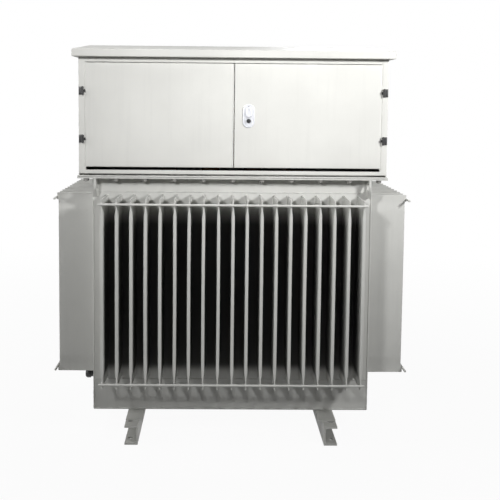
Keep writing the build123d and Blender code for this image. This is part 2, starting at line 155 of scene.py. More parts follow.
def repeated(part, offsets):
    """The same part once at each offset: its points plus each offset, its faces counted on."""
    points, faces = part
    offsets = np.asarray(offsets, float)
    moved = (points[None, :, :] + offsets[:, None, :]).reshape(-1, 3)
    copies = [[i + k * len(points) for i in face] for k in range(len(offsets)) for face in faces]
    return moved, copies


def turned_about_z(part, degrees):
    """A part turned about the upright axis through the origin: x and y by the turning matrix."""
    points, faces = part
    c, s = math.cos(math.radians(degrees)), math.sin(math.radians(degrees))
    turn = np.array([[c, s, 0], [-s, c, 0], [0, 0, 1]])
    return points @ turn, faces


def lathe(outline, sides, spin=0.0, axis="z"):
    """A turned shape: each (radius, height) of the outline is carried round the axis in a number of
    equal sides, x = radius cos a, y = radius sin a."""
    outline = np.asarray(outline, float)
    angle = spin + np.arange(sides) * 2 * math.pi / sides
    radius, height = outline[:, :1], outline[:, 1:]
    across = radius * np.cos(angle)
    along = radius * np.sin(angle)
    order = {"z": (across, along, height), "y": (across, height, -along), "x": (height, across, along)}
    return surface(*order[axis], closed_columns=True, caps=True)


def rounded_block(low, high, radius, steps=3):
    """A block with round edges: a ball's surface cut into eight, each eighth moved to its corner.

    A point is its corner of the inner box plus radius times (sin p cos a, sin p sin a, cos p).
    """
    low, high = np.array([low, high], float)
    middle, inner = (low + high) / 2, (high - low) / 2 - radius
    quarter = np.linspace(0, math.pi / 2, steps + 1)
    around = np.concatenate([quarter + k * math.pi / 2 for k in range(4)])
    sign_x = np.repeat([1, -1, -1, 1], steps + 1)
    sign_y = np.repeat([1, 1, -1, -1], steps + 1)
    down = np.r_[quarter, quarter + math.pi / 2]
    sign_z = np.repeat([1, -1], steps + 1)
    x = radius * np.sin(down)[:, None] * np.cos(around) + sign_x * inner[0]
    y = radius * np.sin(down)[:, None] * np.sin(around) + sign_y * inner[1]
    z = (radius * np.cos(down) + sign_z * inner[2])[:, None] + 0 * around
    points = np.stack([x, y, z], axis=-1)[::-1] + middle
    return grid_part(points, closed_columns=True, caps=True)


def bent_line(points, radius, steps=5, closed=False):
    """A line through corner points with each corner eased: the curve that runs from radius before
    the corner to radius after it, (1-t)^2 a + 2t(1-t) corner + t^2 b."""
    p = np.asarray(points, float)
    to_before, to_after = np.roll(p, 1, axis=0) - p, np.roll(p, -1, axis=0) - p
    a = p + to_before / np.linalg.norm(to_before, axis=1)[:, None] * radius
    b = p + to_after / np.linalg.norm(to_after, axis=1)[:, None] * radius
    t = np.linspace(0, 1, steps)[None, :, None]
    curve = (1 - t) ** 2 * a[:, None] + 2 * t * (1 - t) * p[:, None] + t**2 * b[:, None]
    if closed:
        return curve.reshape(-1, 2)
    return np.r_[p[:1], curve[1:-1].reshape(-1, 2), p[-1:]]


def bar(section, plane, start, end):
    """A straight bar: the closed section carried along the third axis, its two ends filled. The
    section's signed area, half the sum of a x b' - a' x b, tells which way round it has to run."""
    a, b = section.T
    area = np.sum(a * np.roll(b, -1) - np.roll(a, -1) * b)
    if (area < 0) != (plane == "xz"):
        a, b = a[::-1], b[::-1]
    c = np.array([[start], [end]])
    order = {"xy": (a, b, c), "xz": (a, c, b), "yz": (c, a, b)}
    return surface(*order[plane], closed_columns=True, caps=True)


def sheet_section(corners, thick, radius, side=1):
    """The closed outline of a folded sheet: its outer line, and the same line moved across by the
    thickness, to the left for side 1 and to the right for -1, with tighter folds.

    At a corner the move is (n1 + n2) / (1 + n1.n2), from the normals of the two runs that meet.
    """
    p = np.asarray(corners, float)
    run = np.diff(p, axis=0)
    run /= np.linalg.norm(run, axis=1)[:, None]
    across = np.c_[-run[:, 1], run[:, 0]] * side
    before = np.r_[across[:1], across]
    after = np.r_[across, across[-1:]]
    miter = (before + after) / (1 + np.sum(before * after, axis=1))[:, None]
    inner = bent_line(p + miter * thick, radius - thick)
    return np.r_[bent_line(p, radius), inner[::-1]]


def shifted(part, offset):
    """A part with every point moved by the same offset."""
    points, faces = part
    return points + np.asarray(offset, float), faces


def mirrored(part, sign_x):
    """A part with x times the sign. A mirrored part's faces are turned round to point outwards."""
    points, faces = part
    if sign_x > 0:
        return part
    return points * np.array([-1, 1, 1]), [face[::-1] for face in faces]


def pill(width, length, steps, middle, turns=9):
    """An upright plate with round ends that faces -Y: a ring for each (inset, y) step, where a ring
    is x = r cos a and z = r sin a, with half the straight length added to or taken from z."""
    steps = np.asarray(steps, float)
    half_turn = np.linspace(0, math.pi, turns)
    angle = np.r_[half_turn, half_turn + math.pi]
    lift = np.repeat([1, -1], turns) * (length - width) / 2
    radius = width / 2 - steps[:, :1]
    x = middle[0] + radius * np.cos(angle)
    z = middle[1] + radius * np.sin(angle) + lift
    return surface(x, steps[:, 1:], z, closed_columns=True, caps=True)


def bead(path, radii, sides=7):
    """A weld bead or rod: a ring of points carried along a path, each ring square to the path and
    of its own radius, with both ends filled."""
    path = np.asarray(path, float)
    radii = np.broadcast_to(np.asarray(radii, float), len(path))
    along = np.gradient(path, axis=0)
    along /= np.linalg.norm(along, axis=1)[:, None]
    helper = np.where(np.abs(along[:, 2:3]) > 0.9, [[1.0, 0, 0]], [[0, 0, 1.0]])
    side = np.cross(along, helper)
    side /= np.linalg.norm(side, axis=1)[:, None]
    up = np.cross(along, side)
    angle = np.arange(sides) * 2 * math.pi / sides
    ring = np.cos(angle)[None, :, None] * side[:, None] + np.sin(angle)[None, :, None] * up[:, None]
    return grid_part(path[:, None] + radii[:, None, None] * ring, closed_columns=True, caps=True)


def weld_line(start, end, radius, seed):
    """A hand-laid weld: a bead whose radius swells and shrinks a little from ripple to ripple."""
    start, end = np.array([start, end], float)
    count = max(4, int(np.linalg.norm(end - start) / weld_ripple))
    t = np.linspace(0, 1, count)[:, None]
    return bead(start + t * (end - start), radius * np.random.default_rng(seed).uniform(0.8, 1.15, count))


def placed(name, data):
    """A new object in the scene."""
    made = bpy.data.objects.new(name, data)
    bpy.context.scene.collection.objects.link(made)
    return made


def piece(name, parts, material, body="root", replaces=(), slot=None, solid=0.0, angle=35, gap_shade=None):
    """Joins parts into one piece that rides on a body, shaded smooth below the given angle. Its last
    argument holds, from 0 to 1, how much painted shade the points of the first part get; the rest get none."""
    points, faces, count = [], [], 0
    for part_points, part_faces in parts:
        points.append(part_points)
        faces.extend([[i + count for i in face] for face in part_faces])
        count += len(part_points)
    mesh = bpy.data.meshes.new(name)
    mesh.from_pydata(np.concatenate(points).tolist(), [], faces)
    mesh.materials.append(material)
    mesh.shade_smooth()
    mesh.set_sharp_from_angle(angle=math.radians(angle))
    # Painted shade of each point, by which the paint's material darkens and loses its gloss
    if gap_shade is not None:
        held = np.zeros(count)
        held[: gap_shade.size] = gap_shade.ravel()
        mesh.attributes.new("gap_shade", "FLOAT", "POINT").data.foreach_set("value", held)
    made = placed(name, mesh)
    if solid:
        wall = made.modifiers.new("sheet", "SOLIDIFY")
        wall.thickness = solid
        wall.offset = -1
        wall.use_even_offset = True
    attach(made, body)
    if replaces:
        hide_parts(*replaces)
    return made


# Finishes
class Finish:
    """A material that is put together from named nodes, on coordinates of the object in metres."""

    def __init__(self, name):
        self.material = bpy.data.materials.new(name)
        self.material.use_nodes = True
        self.tree = self.material.node_tree
        self.shader = self.tree.nodes["Principled BSDF"]
        self.place = self.tree.nodes.new("ShaderNodeTexCoord").outputs["Object"]

    def node(self, kind, **values):
        """A new node, with each value put on its input of that name or else on its setting."""
        made = self.tree.nodes.new(kind)
        for key, value in values.items():
            if key in made.inputs:
                made.inputs[key].default_value = value
            else:
                setattr(made, key, value)
        return made

    def link(self, source, target):
        """Joins an output to an input."""
        self.tree.links.new(source, target)

    def feed(self, name, source):
        """Joins an output to one of the shader's own inputs."""
        self.link(source, self.shader.inputs[name])

    def scaled_place(self, scale):
        """Coordinates stretched by a factor along each axis, for streaks and grain."""
        stretch = self.node("ShaderNodeMapping", Scale=scale)
        self.link(self.place, stretch.inputs["Vector"])
        return stretch.outputs["Vector"]

    def noise(self, scale, detail=3.0, rough=0.5, place=None):
        """Cloudy values about 0.5, of so many patches to the metre."""
        made = self.node("ShaderNodeTexNoise", Scale=scale, Detail=detail, Roughness=rough)
        self.link(place or self.place, made.inputs["Vector"])
        return made.outputs["Fac"]

    def ramp(self, source, low, high, at_low, at_high):
        """A value that goes from at_low to at_high while the source goes from low to high."""
        ends = {"From Min": low, "From Max": high, "To Min": at_low, "To Max": at_high}
        made = self.node("ShaderNodeMapRange", **ends)
        self.link(source, made.inputs["Value"])
        return made.outputs["Result"]

    def blend(self, amount, first, second):
        """One colour over another. A colour may be four numbers or another node's output."""
        made = self.node("ShaderNodeMix", data_type="RGBA")
        self.link(amount, made.inputs["Factor"])
        for key, colour in (("A", first), ("B", second)):
            socket = [s for s in made.inputs if s.name == key and s.type == "RGBA"][0]
            if isinstance(colour, tuple):
                socket.default_value = (*colour, 1.0)
            else:
                self.link(colour, socket)
        return [s for s in made.outputs if s.type == "RGBA"][0]

    def bump(self, height, depth, strength=1.0, under=None):
        """A surface that seems to rise by a depth in metres where the height is 1."""
        made = self.node("ShaderNodeBump", Distance=depth, Strength=strength)
        self.link(height, made.inputs["Height"])
        if under is not None:
            self.link(under, made.inputs["Normal"])
        return made.outputs["Normal"]


def shade(colour, factor):
    """A colour made lighter or darker by a factor."""
    return tuple(channel * factor for channel in colour)


def enamel(name, colour, rough, waves, dust):
    """Paint on steel sheet: broad uneven tone, faint runs, dust, orange peel and soft waves, and painted
    shade with no gloss where the mesh's shade attribute is high.
    """
    f = Finish(name)
    patches = f.ramp(f.noise(5, 4), 0.35, 0.68, 0, 1)
    base = f.blend(patches, shade(colour, 0.955), shade(colour, 1.03))
    runs = f.ramp(f.noise(1, 5, 0.6, f.scaled_place((60, 60, 2.2))), 0.52, 0.78, 0, 0.28)
    base = f.blend(runs, base, shade(colour, 0.84))
    specks = f.ramp(f.noise(420, 2, 0.6), 0.66, 0.8, 0, dust)
    base = f.blend(specks, base, shade(colour, 0.62))
    # Painted shade: where the mesh's shade attribute is 1 the colour falls to a fifth, standing in for the
    # shade deep between the fins
    gap_shade = f.node("ShaderNodeAttribute", attribute_name="gap_shade").outputs["Fac"]
    base = f.blend(f.ramp(gap_shade, 0, 1, 0, 0.95), base, shade(colour, 0.2))
    f.feed("Base Color", base)
    f.feed("Roughness", f.ramp(f.noise(14, 4), 0.3, 0.7, rough - 0.05, rough + 0.07))
    wave = f.bump(f.noise(6, 2), waves)
    peel = f.bump(f.noise(520, 2), 0.00006, 0.6, wave)
    f.feed("Normal", peel)
    # Painted shade as well: the gloss goes away where that attribute passes one half
    f.feed("Specular IOR Level", f.ramp(gap_shade, 0, 0.5, 0.14, 0.0))
    return f.material


def black_satin(name, colour, rough):
    """Black lacquer on small hardware, dusty on its flats and a little worn to grey."""
    f = Finish(name)
    dusty = f.ramp(f.noise(90, 4, 0.6), 0.45, 0.75, 0, 0.5)
    worn = f.ramp(f.noise(700, 3, 0.7), 0.6, 0.75, 0, 0.5)
    base = f.blend(dusty, colour, shade(colour, 2.2))
    base = f.blend(worn, base, shade(colour, 4.0))
    f.feed("Base Color", base)
    f.feed("Roughness", f.ramp(f.noise(300, 3), 0.3, 0.7, rough - 0.08, rough + 0.1))
    f.feed("Normal", f.bump(f.noise(900, 3), 0.00008))
    return f.material


def bare_metal(name, colour, rough, grain, metal=1.0):
    """Plated, machined or cast metal: fine scratches along one way, stains and a soft gloss."""
    f = Finish(name)
    stains = f.ramp(f.noise(60, 5, 0.6), 0.4, 0.75, 0, 0.5)
    base = f.blend(stains, colour, shade(colour, 0.78))
    f.feed("Base Color", base)
    f.feed("Roughness", f.ramp(f.noise(150, 4), 0.3, 0.7, rough - 0.08, rough + 0.12))
    f.feed("Normal", f.bump(f.noise(1, 3, 0.6, f.scaled_place(grain)), 0.00005))
    f.shader.inputs["Metallic"].default_value = metal
    return f.material


def soft_black(name, colour):
    """Rubber: matte black with a grey bloom and fine pits."""
    f = Finish(name)
    bloom = f.ramp(f.noise(40, 4), 0.4, 0.7, 0, 0.8)
    f.feed("Base Color", f.blend(bloom, colour, shade(colour, 1.9)))
    f.feed("Roughness", f.ramp(f.noise(200, 3), 0.3, 0.7, 0.62, 0.8))
    f.feed("Normal", f.bump(f.noise(800, 3), 0.0001))
    return f.material


def glaze(name, colour):
    """Brown insulator glaze: darker where it runs thick, deep gloss, faint ripple and pinholes."""
    f = Finish(name)
    thick = f.ramp(f.noise(24, 4), 0.35, 0.7, 0, 1)
    base = f.blend(thick, shade(colour, 0.7), shade(colour, 1.25))
    pits = f.ramp(f.noise(650, 2), 0.68, 0.76, 0, 0.6)
    f.feed("Base Color", f.blend(pits, base, shade(colour, 0.35)))
    f.feed("Roughness", f.ramp(f.noise(30, 3), 0.3, 0.7, 0.1, 0.2))
    f.feed("Normal", f.bump(f.noise(45, 3), 0.0003))
    f.shader.inputs["Coat Weight"].default_value = 0.6
    f.shader.inputs["Coat Roughness"].default_value = 0.06
    return f.material


tank_paint = enamel("tank enamel", (0.60, 0.60, 0.575), 0.42, 0.0012, 0.35)
cabinet_paint = enamel("cabinet powder coat", (0.68, 0.678, 0.648), 0.46, 0.0010, 0.25)
rail_paint = enamel("rail enamel", (0.50, 0.50, 0.475), 0.48, 0.0006, 0.5)
bolt_zinc = bare_metal("zinc-plated bolts", (0.34, 0.335, 0.32), 0.42, (900, 900, 900), 0.7)
lock_metal = bare_metal("satin lock plating", (0.70, 0.71, 0.745), 0.36, (120, 120, 1500), 0.3)
lock_dark = black_satin("keyhole lacquer", (0.012, 0.012, 0.014), 0.4)
hinge_black = black_satin("hinge lacquer", (0.014, 0.014, 0.015), 0.42)
valve_black = black_satin("valve lacquer", (0.02, 0.02, 0.021), 0.45)
rubber = soft_black("cover gasket rubber", (0.02, 0.02, 0.02))
porcelain = glaze("brown insulator glaze", (0.25, 0.1, 0.05))
brass = bare_metal("terminal brass", (0.72, 0.55, 0.26), 0.34, (300, 300, 2500), 0.6)
oil_block = soft_black("oil block", (0.2, 0.15, 0.08))


# Corrugated cooling walls
def fin_profile():
    """Factors of one fin's folded line, left to right: x = a.(half, root, half pitch) and depth =
    b.(reach, half, root). It runs from the valley round the root, out along the side, round one
    edge of the nose by nose_edge of the half thickness and to its middle, then back the same way."""
    root_turn = np.linspace(0, math.pi / 2, 5)
    nose_turn = np.linspace(0, math.pi / 2, 4)
    side = np.array([0.34, 0.67])
    zero, one = np.zeros, np.ones
    x_half = np.r_[0, -one(7), nose_edge * (1 - np.cos(nose_turn)) - 1, 0]
    x_rows = np.stack([x_half, np.r_[0, np.sin(root_turn) - 1, zero(7)], np.r_[-1, zero(12)]])
    d_half = np.r_[zero(6), -side * nose_edge, nose_edge * (np.sin(nose_turn) - 1), 0]
    d_root = np.r_[0, 1 - np.cos(root_turn), 1 - side, zero(5)]
    d_rows = np.stack([np.r_[zero(6), side, one(5)], d_half, d_root])
    x_rows = np.concatenate([x_rows, -x_rows[:, -2:0:-1]], axis=1)
    d_rows = np.concatenate([d_rows, d_rows[:, -2:0:-1]], axis=1)
    return x_rows, d_rows


def folded_fins(wall_line, count, half_length, low, high, seed):
    """The folded sheet of a wall that faces -Y: the fin's line repeated along X, on levels that are
    close together where the fin's ends are pressed flat.

    The half thickness grows from the pressed end to full over the taper, the reach loses its
    flare there, and each fin bows sideways by its own small amount, most at mid height.
    """
    end = np.array([0, 0.08, 0.13, 0.22, 0.34, 0.46, 0.58, 0.7, 0.82, 0.92, 1.0, 1.1]) * fin_pinch
    middle = np.linspace(low + end[-1], high - end[-1], 15)[1:-1]
    levels = np.r_[low + end, middle, high - end[::-1]]
    from_end = np.minimum(levels - low, high - levels)
    opened = np.clip((from_end - fin_weld) / (fin_pinch - fin_weld), 0, 1)
    open_up = 0.55 * opened + 0.45 * smooth_step(opened)
    half = fin_end_half + (fin_half - fin_end_half) * open_up
    reach = fin_depth + fin_flare * (1 - smooth_step(from_end / fin_taper))
    x_rows, d_rows = fin_profile()
    root = 0 * half + fin_root
    pitch = 0 * half + fin_pitch / 2
    x = np.c_[half, root, pitch] @ x_rows
    depth = np.c_[reach, half, root] @ d_rows
    random = np.random.default_rng(seed)
    bow = random.uniform(-bow_limit, bow_limit, count)
    lean = random.uniform(-bow_limit, bow_limit, count) * 0.5
    rise = (levels - low) / (high - low)
    centres = (np.arange(count) - (count - 1) / 2) * fin_pitch
    sway = bow[:, None] * np.sin(math.pi * rise) + lean[:, None]
    share = depth / fin_depth
    x = (centres[:, None] + x[:, None] + sway.T[:, :, None] * share[:, None]).reshape(len(levels), -1)
    x = np.pad(x, ((0, 0), (1, 1)), constant_values=((0, 0), (-half_length, half_length)))
    y = np.pad(-np.tile(wall_line + depth, count), ((0, 0), (1, 1)), "edge")
    # Painted shade: 0 at the tips and on the outer faces of the end fins, rising deeper into the gaps between
    # fins and falling off near the fin ends, where light gets in
    below_tip = wall_line + fin_depth + y
    between = np.abs(x) < centres[-1] + shade_past
    gap_shade = smooth_step((below_tip - shade_from) / (shade_full - shade_from)) * between
    rise_low = smooth_step((levels - low - unshaded_end) / (shade_full - unshaded_end))
    rise_high = smooth_step((high - levels - unshaded_end) / (top_shade_full - unshaded_end))
    gap_shade = gap_shade * (rise_low * rise_high)[:, None]
    return surface(x, y, levels[:, None]), centres, sway[:, 0], sway[:, -1], gap_shade


def cooling_wall(name, degrees, wall_line, half_length, count, seed):
    """One whole wall: folded fins, plain bands, the welds that close the fin ends and the two
    long welds that hold the folded sheet to its bands, all turned to face its own side."""
    wall_low, wall_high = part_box(name)[0].z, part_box(name)[1].z
    low = wall_low + band_below
    high = wall_high - band_above
    fins, centres, low_sway, high_sway, gap_shade = folded_fins(wall_line, count, half_length, low, high, seed)
    parts = [fins]
    across = np.linspace(-half_length, half_length, 25)
    for start, end in ((wall_low, low), (high, wall_high)):
        middle = start + (end - start) / 2
        parts.append(surface(across, -wall_line, np.array([[start], [middle], [middle], [end]])))
    steps = np.array([0, 0.03, 0.08, 0.3, 0.6, 0.9, 0.985, 1.0])
    radii = mm(5.5, 4.2, 2.9, 2.6, 2.5, 2.6, 2.4, 1.2)
    y = -(wall_line + steps * (fin_depth + fin_flare - end_weld_setback))
    for level, sway, inward in ((low, low_sway, 1), (high, high_sway, -1)):
        for index, centre in enumerate(centres):
            x = centre + sway[index] * steps
            ripple = np.random.default_rng(seed + index).uniform(0.9, 1.1, len(steps))
            path = np.c_[x, y, 0 * y + level + inward * end_weld_inset]
            parts.append(bead(path, radii * ripple, 6))
    for level in (low - skirt, high + skirt):
        start = (-half_length, -wall_line, level)
        end = (half_length, -wall_line, level)
        parts.append(weld_line(start, end, long_weld, seed))
    corner = (-half_length, -wall_line, wall_low)
    parts.append(weld_line(corner, (-half_length, -wall_line, wall_high), weld_bead, seed + 1))
    parts.append(weld_line(corner, (half_length, -wall_line, wall_low), weld_bead, seed + 2))
    turned = [turned_about_z(part, degrees) for part in parts]
    new_name = name.replace("corrugated", "folded")
    # The folded sheet takes its painted gap shade along to its paint
    piece(new_name, turned, tank_paint, replaces=(name,), slot="tank_paint", gap_shade=gap_shade)


wall_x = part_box("front_corrugated_wall")[1].x
wall_y = -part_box("left_corrugated_wall")[0].y + wall_plate
cooling_wall("front_corrugated_wall", 0, wall_y, wall_x, fins_front, 11)
cooling_wall("right_corrugated_wall", 90, wall_x, wall_y, fins_side, 29)
cooling_wall("rear_corrugated_wall", 180, wall_y, wall_x, fins_front, 47)
cooling_wall("left_corrugated_wall", -90, wall_x, wall_y, fins_side, 71)


def rod_pair(name, degrees, count):
    """Two round rods across the fin tips, each a ring carried along a line with eased ends, and a
    small weld where each fin meets its rod."""
    low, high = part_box(name)
    across = abs(degrees) == 90
    half_span = high.y if across else high.x
    near, far = (low.x, high.x) if across else (low.y, high.y)
    line = min(abs(near), abs(far)) + rod_radius
    centres = (np.arange(count) - (count - 1) / 2) * fin_pitch
    blob = lathe(mm((0.4, -4), (2.4, -2), (2.4, 2), (0.4, 4)), 6)
    steps = np.array([-1, -0.999, -0.997, -0.5, 0, 0.5, 0.997, 0.999, 1]) * half_span
    radii = mm(2, 3.3, 4, 4, 4, 4, 4, 3.3, 2)
    parts = []
    for level in (low.z + rod_radius, high.z - rod_radius):
        path = np.c_[steps, 0 * steps - line, 0 * steps + level]
        parts.append(bead(path, radii, 14))
        for side in (-1, 1):
            y = 0 * centres - line + rod_weld_setback
            z = 0 * centres + level + side * rod_radius
            parts.append(repeated(blob, np.c_[centres, y, z]))
    turned = [turned_about_z(part, degrees) for part in parts]
    piece(name.replace("fin_rods", "tip_rods"), turned, tank_paint, replaces=(name,), slot="tank_paint")


rod_pair("front_fin_rods", 0, fins_front)
rod_pair("right_fin_rods", 90, fins_side)
rod_pair("rear_fin_rods", 180, fins_front)
rod_pair("left_fin_rods", -90, fins_side)

# Tank bottom, cover, rim and lugs
for name, node in (("bottom_plate", "tank_bottom"), ("cover_plate", "tank_cover")):
    flat = rounded_block(*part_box(node), plate_edge)
    piece(name, [flat], tank_paint, replaces=(node,), slot="tank_paint")


def rim_frame():
    """The rim round the tank: a flat bar's rounded section carried round four corners."""
    low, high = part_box("rim_flange")
    width = high.x - wall_x + rim_lap
    outline = [(0, low.z), (0, high.z), (width, high.z), (width, low.z)]
    inset, level = bent_line(outline, plate_edge, 4, closed=True).T
    corners = np.array([(-1, -1), (1, -1), (1, 1), (-1, 1)], float)
    x = corners[:, :1] * (high.x - inset)
    y = corners[:, 1:] * (high.y - inset)
    points, faces = surface(x, y, level, closed_rows=True, closed_columns=True)
    return points, [face[::-1] for face in faces]


piece("rim_bar", [rim_frame()], tank_paint, replaces=("rim_flange",), slot="tank_paint", angle=50)


def cover_bolts():
    """Washer, nut and bolt end under the rim at each place of the bolt row, all round the tank."""
    low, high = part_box("rim_flange")
    row_x, row_y = high.x - bolt_inset, high.y - bolt_inset
    along = np.arange(-5, 6) * bolt_pitch
    beside = np.arange(-2, 3) * side_bolt_pitch
    spots = [(x, side * row_y, low.z) for side in (-1, 1) for x in along]
    spots += [(side * row_x, y, low.z) for side in (-1, 1) for y in beside]
    corner = nut_flats / math.sqrt(3)
    under_nut = -washer_plate - nut_height
    washer = [(bolt_radius, -washer_plate), (washer_radius, -washer_plate),
              (washer_radius, -washer_ease), (washer_radius - washer_ease, 0)]
    nut = [(corner * 0.9, under_nut), (corner, -washer_plate - nut_height * 0.86), (corner, -washer_plate)]
    tip = [(bolt_radius - bolt_ease, under_nut - bolt_end), (bolt_radius, under_nut - bolt_end + bolt_ease),
           (bolt_radius, under_nut)]
    return [repeated(part, spots) for part in (lathe(washer, 18), lathe(nut, 6, 0.3), lathe(tip, 12))]


piece("cover_bolts", cover_bolts(), bolt_zinc)


def lug_welds():
    """Fillet beads down both faces of each lug where it meets the wall, and along the rim."""
    low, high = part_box("lifting_lugs")
    parts = []
    for sx in (-1, 1):
        for sy in (-1, 1):
            for face in (high.x - lug_plate, high.x):
                foot = (sx * face, sy * wall_y, low.z)
                top = (sx * face, sy * wall_y, high.z)
                out = (sx * face, sy * (high.y - lug_corner), high.z)
                parts.append(weld_line(foot, top, lug_weld, 5))
                parts.append(weld_line(top, out, weld_bead, 6))
    return parts


piece("lug_welds", lug_welds(), tank_paint)


# Terminal cabinet
def folded_pan(low, high, front, depth, lip, wave, seed):
    """A door as one folded sheet that faces -Y, from (x, z) low to high: rings of points run from
    the edge of the inner lip, round the back fold, forward along the edge and round the front
    fold, and a grid fills the face, which sinks and swells by a small wave."""
    steps = np.linspace(0, math.pi / 2, 5)
    r = fold_radius
    inset = np.r_[lip, r * (1 - np.sin(steps)), r * (1 - np.cos(steps))][:, None]
    sink = np.r_[depth, depth - r * (1 - np.cos(steps)), r * (1 - np.sin(steps))]
    columns, rows = 25, 19
    s = np.linspace(0, 1, columns)
    t = np.linspace(0, 1, rows)
    rim_s = np.r_[s[:-1], np.ones(rows - 1), s[::-1][:-1], np.zeros(rows - 1)]
    rim_t = np.r_[np.zeros(columns - 1), t[:-1], np.ones(columns - 1), t[::-1][:-1]]
    width, height = high[0] - low[0], high[1] - low[1]
    x = low[0] + inset + rim_s * (width - 2 * inset)
    z = low[1] + inset + rim_t * (height - 2 * inset)
    points, quads = surface(x, front + sink[:, None], z, closed_columns=True)
    phase = np.random.default_rng(seed).uniform(0, 2 * math.pi, 4)
    across, upward = math.pi * s, math.pi * t[:, None]
    swell = np.sin(2.2 * across + phase[0]) * np.sin(1.6 * upward + phase[1])
    swell = swell + 0.6 * np.sin(3.7 * across + phase[2]) * np.sin(2.9 * upward + phase[3])
    hold = np.sin(across) * np.sin(upward)
    face_x = low[0] + r + s * (width - 2 * r)
    face_z = low[1] + r + t[:, None] * (height - 2 * r)
    face_y = front + wave * hold * (1.6 + swell) / 3.2
    return [(points, [quad[::-1] for quad in quads]), surface(face_x, face_y, face_z)]


def joined_sheet(name, parts, material, **facts):
    """A piece whose touching edges are merged, so that its sheet gets its thickness as one."""
    made = piece(name, parts, material, **facts)
    work = bmesh.new()
    work.from_mesh(made.data)
    bmesh.ops.remove_doubles(work, verts=work.verts, dist=merge_gap)
    bmesh.ops.recalc_face_normals(work, faces=work.faces)
    work.to_mesh(made.data)
    work.free()
    made.data.shade_smooth()
    made.data.set_sharp_from_angle(angle=math.radians(35))
    return made


for side in ("left", "right"):
    low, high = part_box(side + "_door")
    pan = folded_pan((low.x, low.z), (high.x, high.z), low.y, high.y - low.y, door_lip, door_wave, 3)
    joined_sheet(side + "_door_pan", pan, cabinet_paint, body=side + "_door",
                 replaces=(side + "_door",), slot="cabinet_paint", solid=door_sheet)


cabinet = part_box("cabinet_left_side")
cabinet_x, cabinet_y = -cabinet[0].x, cabinet[1].y
cabinet_low, cabinet_high = cabinet[0].z, cabinet[1].z
post_x = -cabinet[1].x
sill_low, sill_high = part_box("cabinet_sill")[0].z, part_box("cabinet_sill")[1].z
header_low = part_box("cabinet_header")[0].z


def cabinet_side(sign, name, node):
    """One side of the cabinet: post return, post, skin and rear return as one folded line carried
    upwards, the skin's foot below the sill and the flange that stands on the cover."""
    around = [(-post_x, -cabinet_y + post_return), (-post_x, -cabinet_y), (-cabinet_x, -cabinet_y),
              (-cabinet_x, cabinet_y), (-post_x, cabinet_y)]
    down = [(-cabinet_x, sill_high), (-cabinet_x, cabinet_low), (flange_leg - cabinet_x, cabinet_low)]
    skin = sheet_section(around, sheet, fold_radius, -1)
    foot = sheet_section(down, sheet, fold_radius)
    reach = cabinet_y - sill_leg
    parts = [bar(skin, "xy", sill_high, cabinet_high), bar(foot, "xz", -reach, reach)]
    for start, end in ((-cabinet_y, -reach), (reach, cabinet_y)):
        low, high = (-cabinet_x, start, cabinet_low), (sheet - cabinet_x, end, sill_high)
        parts.append(rounded_block(low, high, edge_ease))
    parts = [mirrored(part, sign) for part in parts]
    piece(name, parts, cabinet_paint, replaces=(node,), slot="cabinet_paint")


cabinet_side(1, "left_side_sheet", "cabinet_left_side")
cabinet_side(-1, "right_side_sheet", "cabinet_right_side")


def cabinet_back():
    """The back panel, folded forwards at its head, with the flange of its foot between the sides."""
    low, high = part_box("cabinet_back")
    line = [(high.y, low.z), (high.y, high.z), (high.y - flange_leg, high.z)]
    panel = sheet_section(line, sheet, fold_radius)
    foot_low = (low.x + flange_leg, high.y - flange_leg, low.z)
    foot_high = (high.x - flange_leg, high.y, low.z + sheet)
    return [bar(panel, "yz", low.x, high.x), rounded_block(foot_low, foot_high, foot_ease)]


piece("back_sheet", cabinet_back(), cabinet_paint, replaces=("cabinet_back",), slot="cabinet_paint")


def cross_rail(name, node, line):
    """A folded angle that runs across the front of the cabinet, from its (y, z) corners."""
    low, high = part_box(node)
    section = sheet_section(line, sheet, fold_radius)
    piece(name, [bar(section, "yz", low.x, high.x)], cabinet_paint, replaces=(node,), slot="cabinet_paint")


cross_rail("sill_sheet", "cabinet_sill",
           [(-cabinet_y, sill_high), (-cabinet_y, sill_low), (sill_leg - cabinet_y, sill_low)])
cross_rail("header_sheet", "cabinet_header",
           [(header_leg - cabinet_y, cabinet_high), (-cabinet_y, cabinet_high), (-cabinet_y, header_low)])


def roof_faces():
    """The rain roof as one open sheet: rings of six points from the inner edge of the soffit out to
    the fascia and up to the eaves, whose middle points rise to the ridge, and the two slopes."""
    low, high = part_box("cabinet_roof")
    eaves = low.z + fascia
    sign_x = np.array([-1, 1, 1, 1, -1, -1])
    sign_y = np.array([-1, -1, 0, 1, 1, 0])
    reach_x = np.array([cabinet_x - flange_leg, high.x, high.x])[:, None]
    reach_y = np.array([cabinet_y - flange_leg, high.y, high.y])[:, None]
    level = np.array([low.z, low.z, eaves])[:, None] + 0 * sign_x
    level[2] = np.where(sign_y == 0, high.z, eaves)
    rings = surface(reach_x * sign_x, reach_y * sign_y, level, closed_columns=True)
    x, y = np.meshgrid([low.x, high.x], [low.y, 0, high.y])
    return [rings, surface(x, y, np.where(y == 0, high.z, eaves))]


roof = joined_sheet("roof_sheet", roof_faces(), cabinet_paint, replaces=("cabinet_roof",),
                    slot="cabinet_paint")
eased = roof.modifiers.new("folds", "BEVEL")
eased.width = roof_fold
eased.segments = 3
eased.limit_method = "ANGLE"
eased.angle_limit = math.radians(30)
roof_wall = roof.modifiers.new("sheet", "SOLIDIFY")
roof_wall.thickness = sheet
roof_wall.offset = -1


# Strips that close the door gaps
strip_width = 3 * MM
meeting_strip = 4 * MM
strip_front = 0.8 * MM
strip_back = 17 * MM
strip_dip = 0.2 * MM
meeting_foot = 1 * MM
meeting_head = 6 * MM


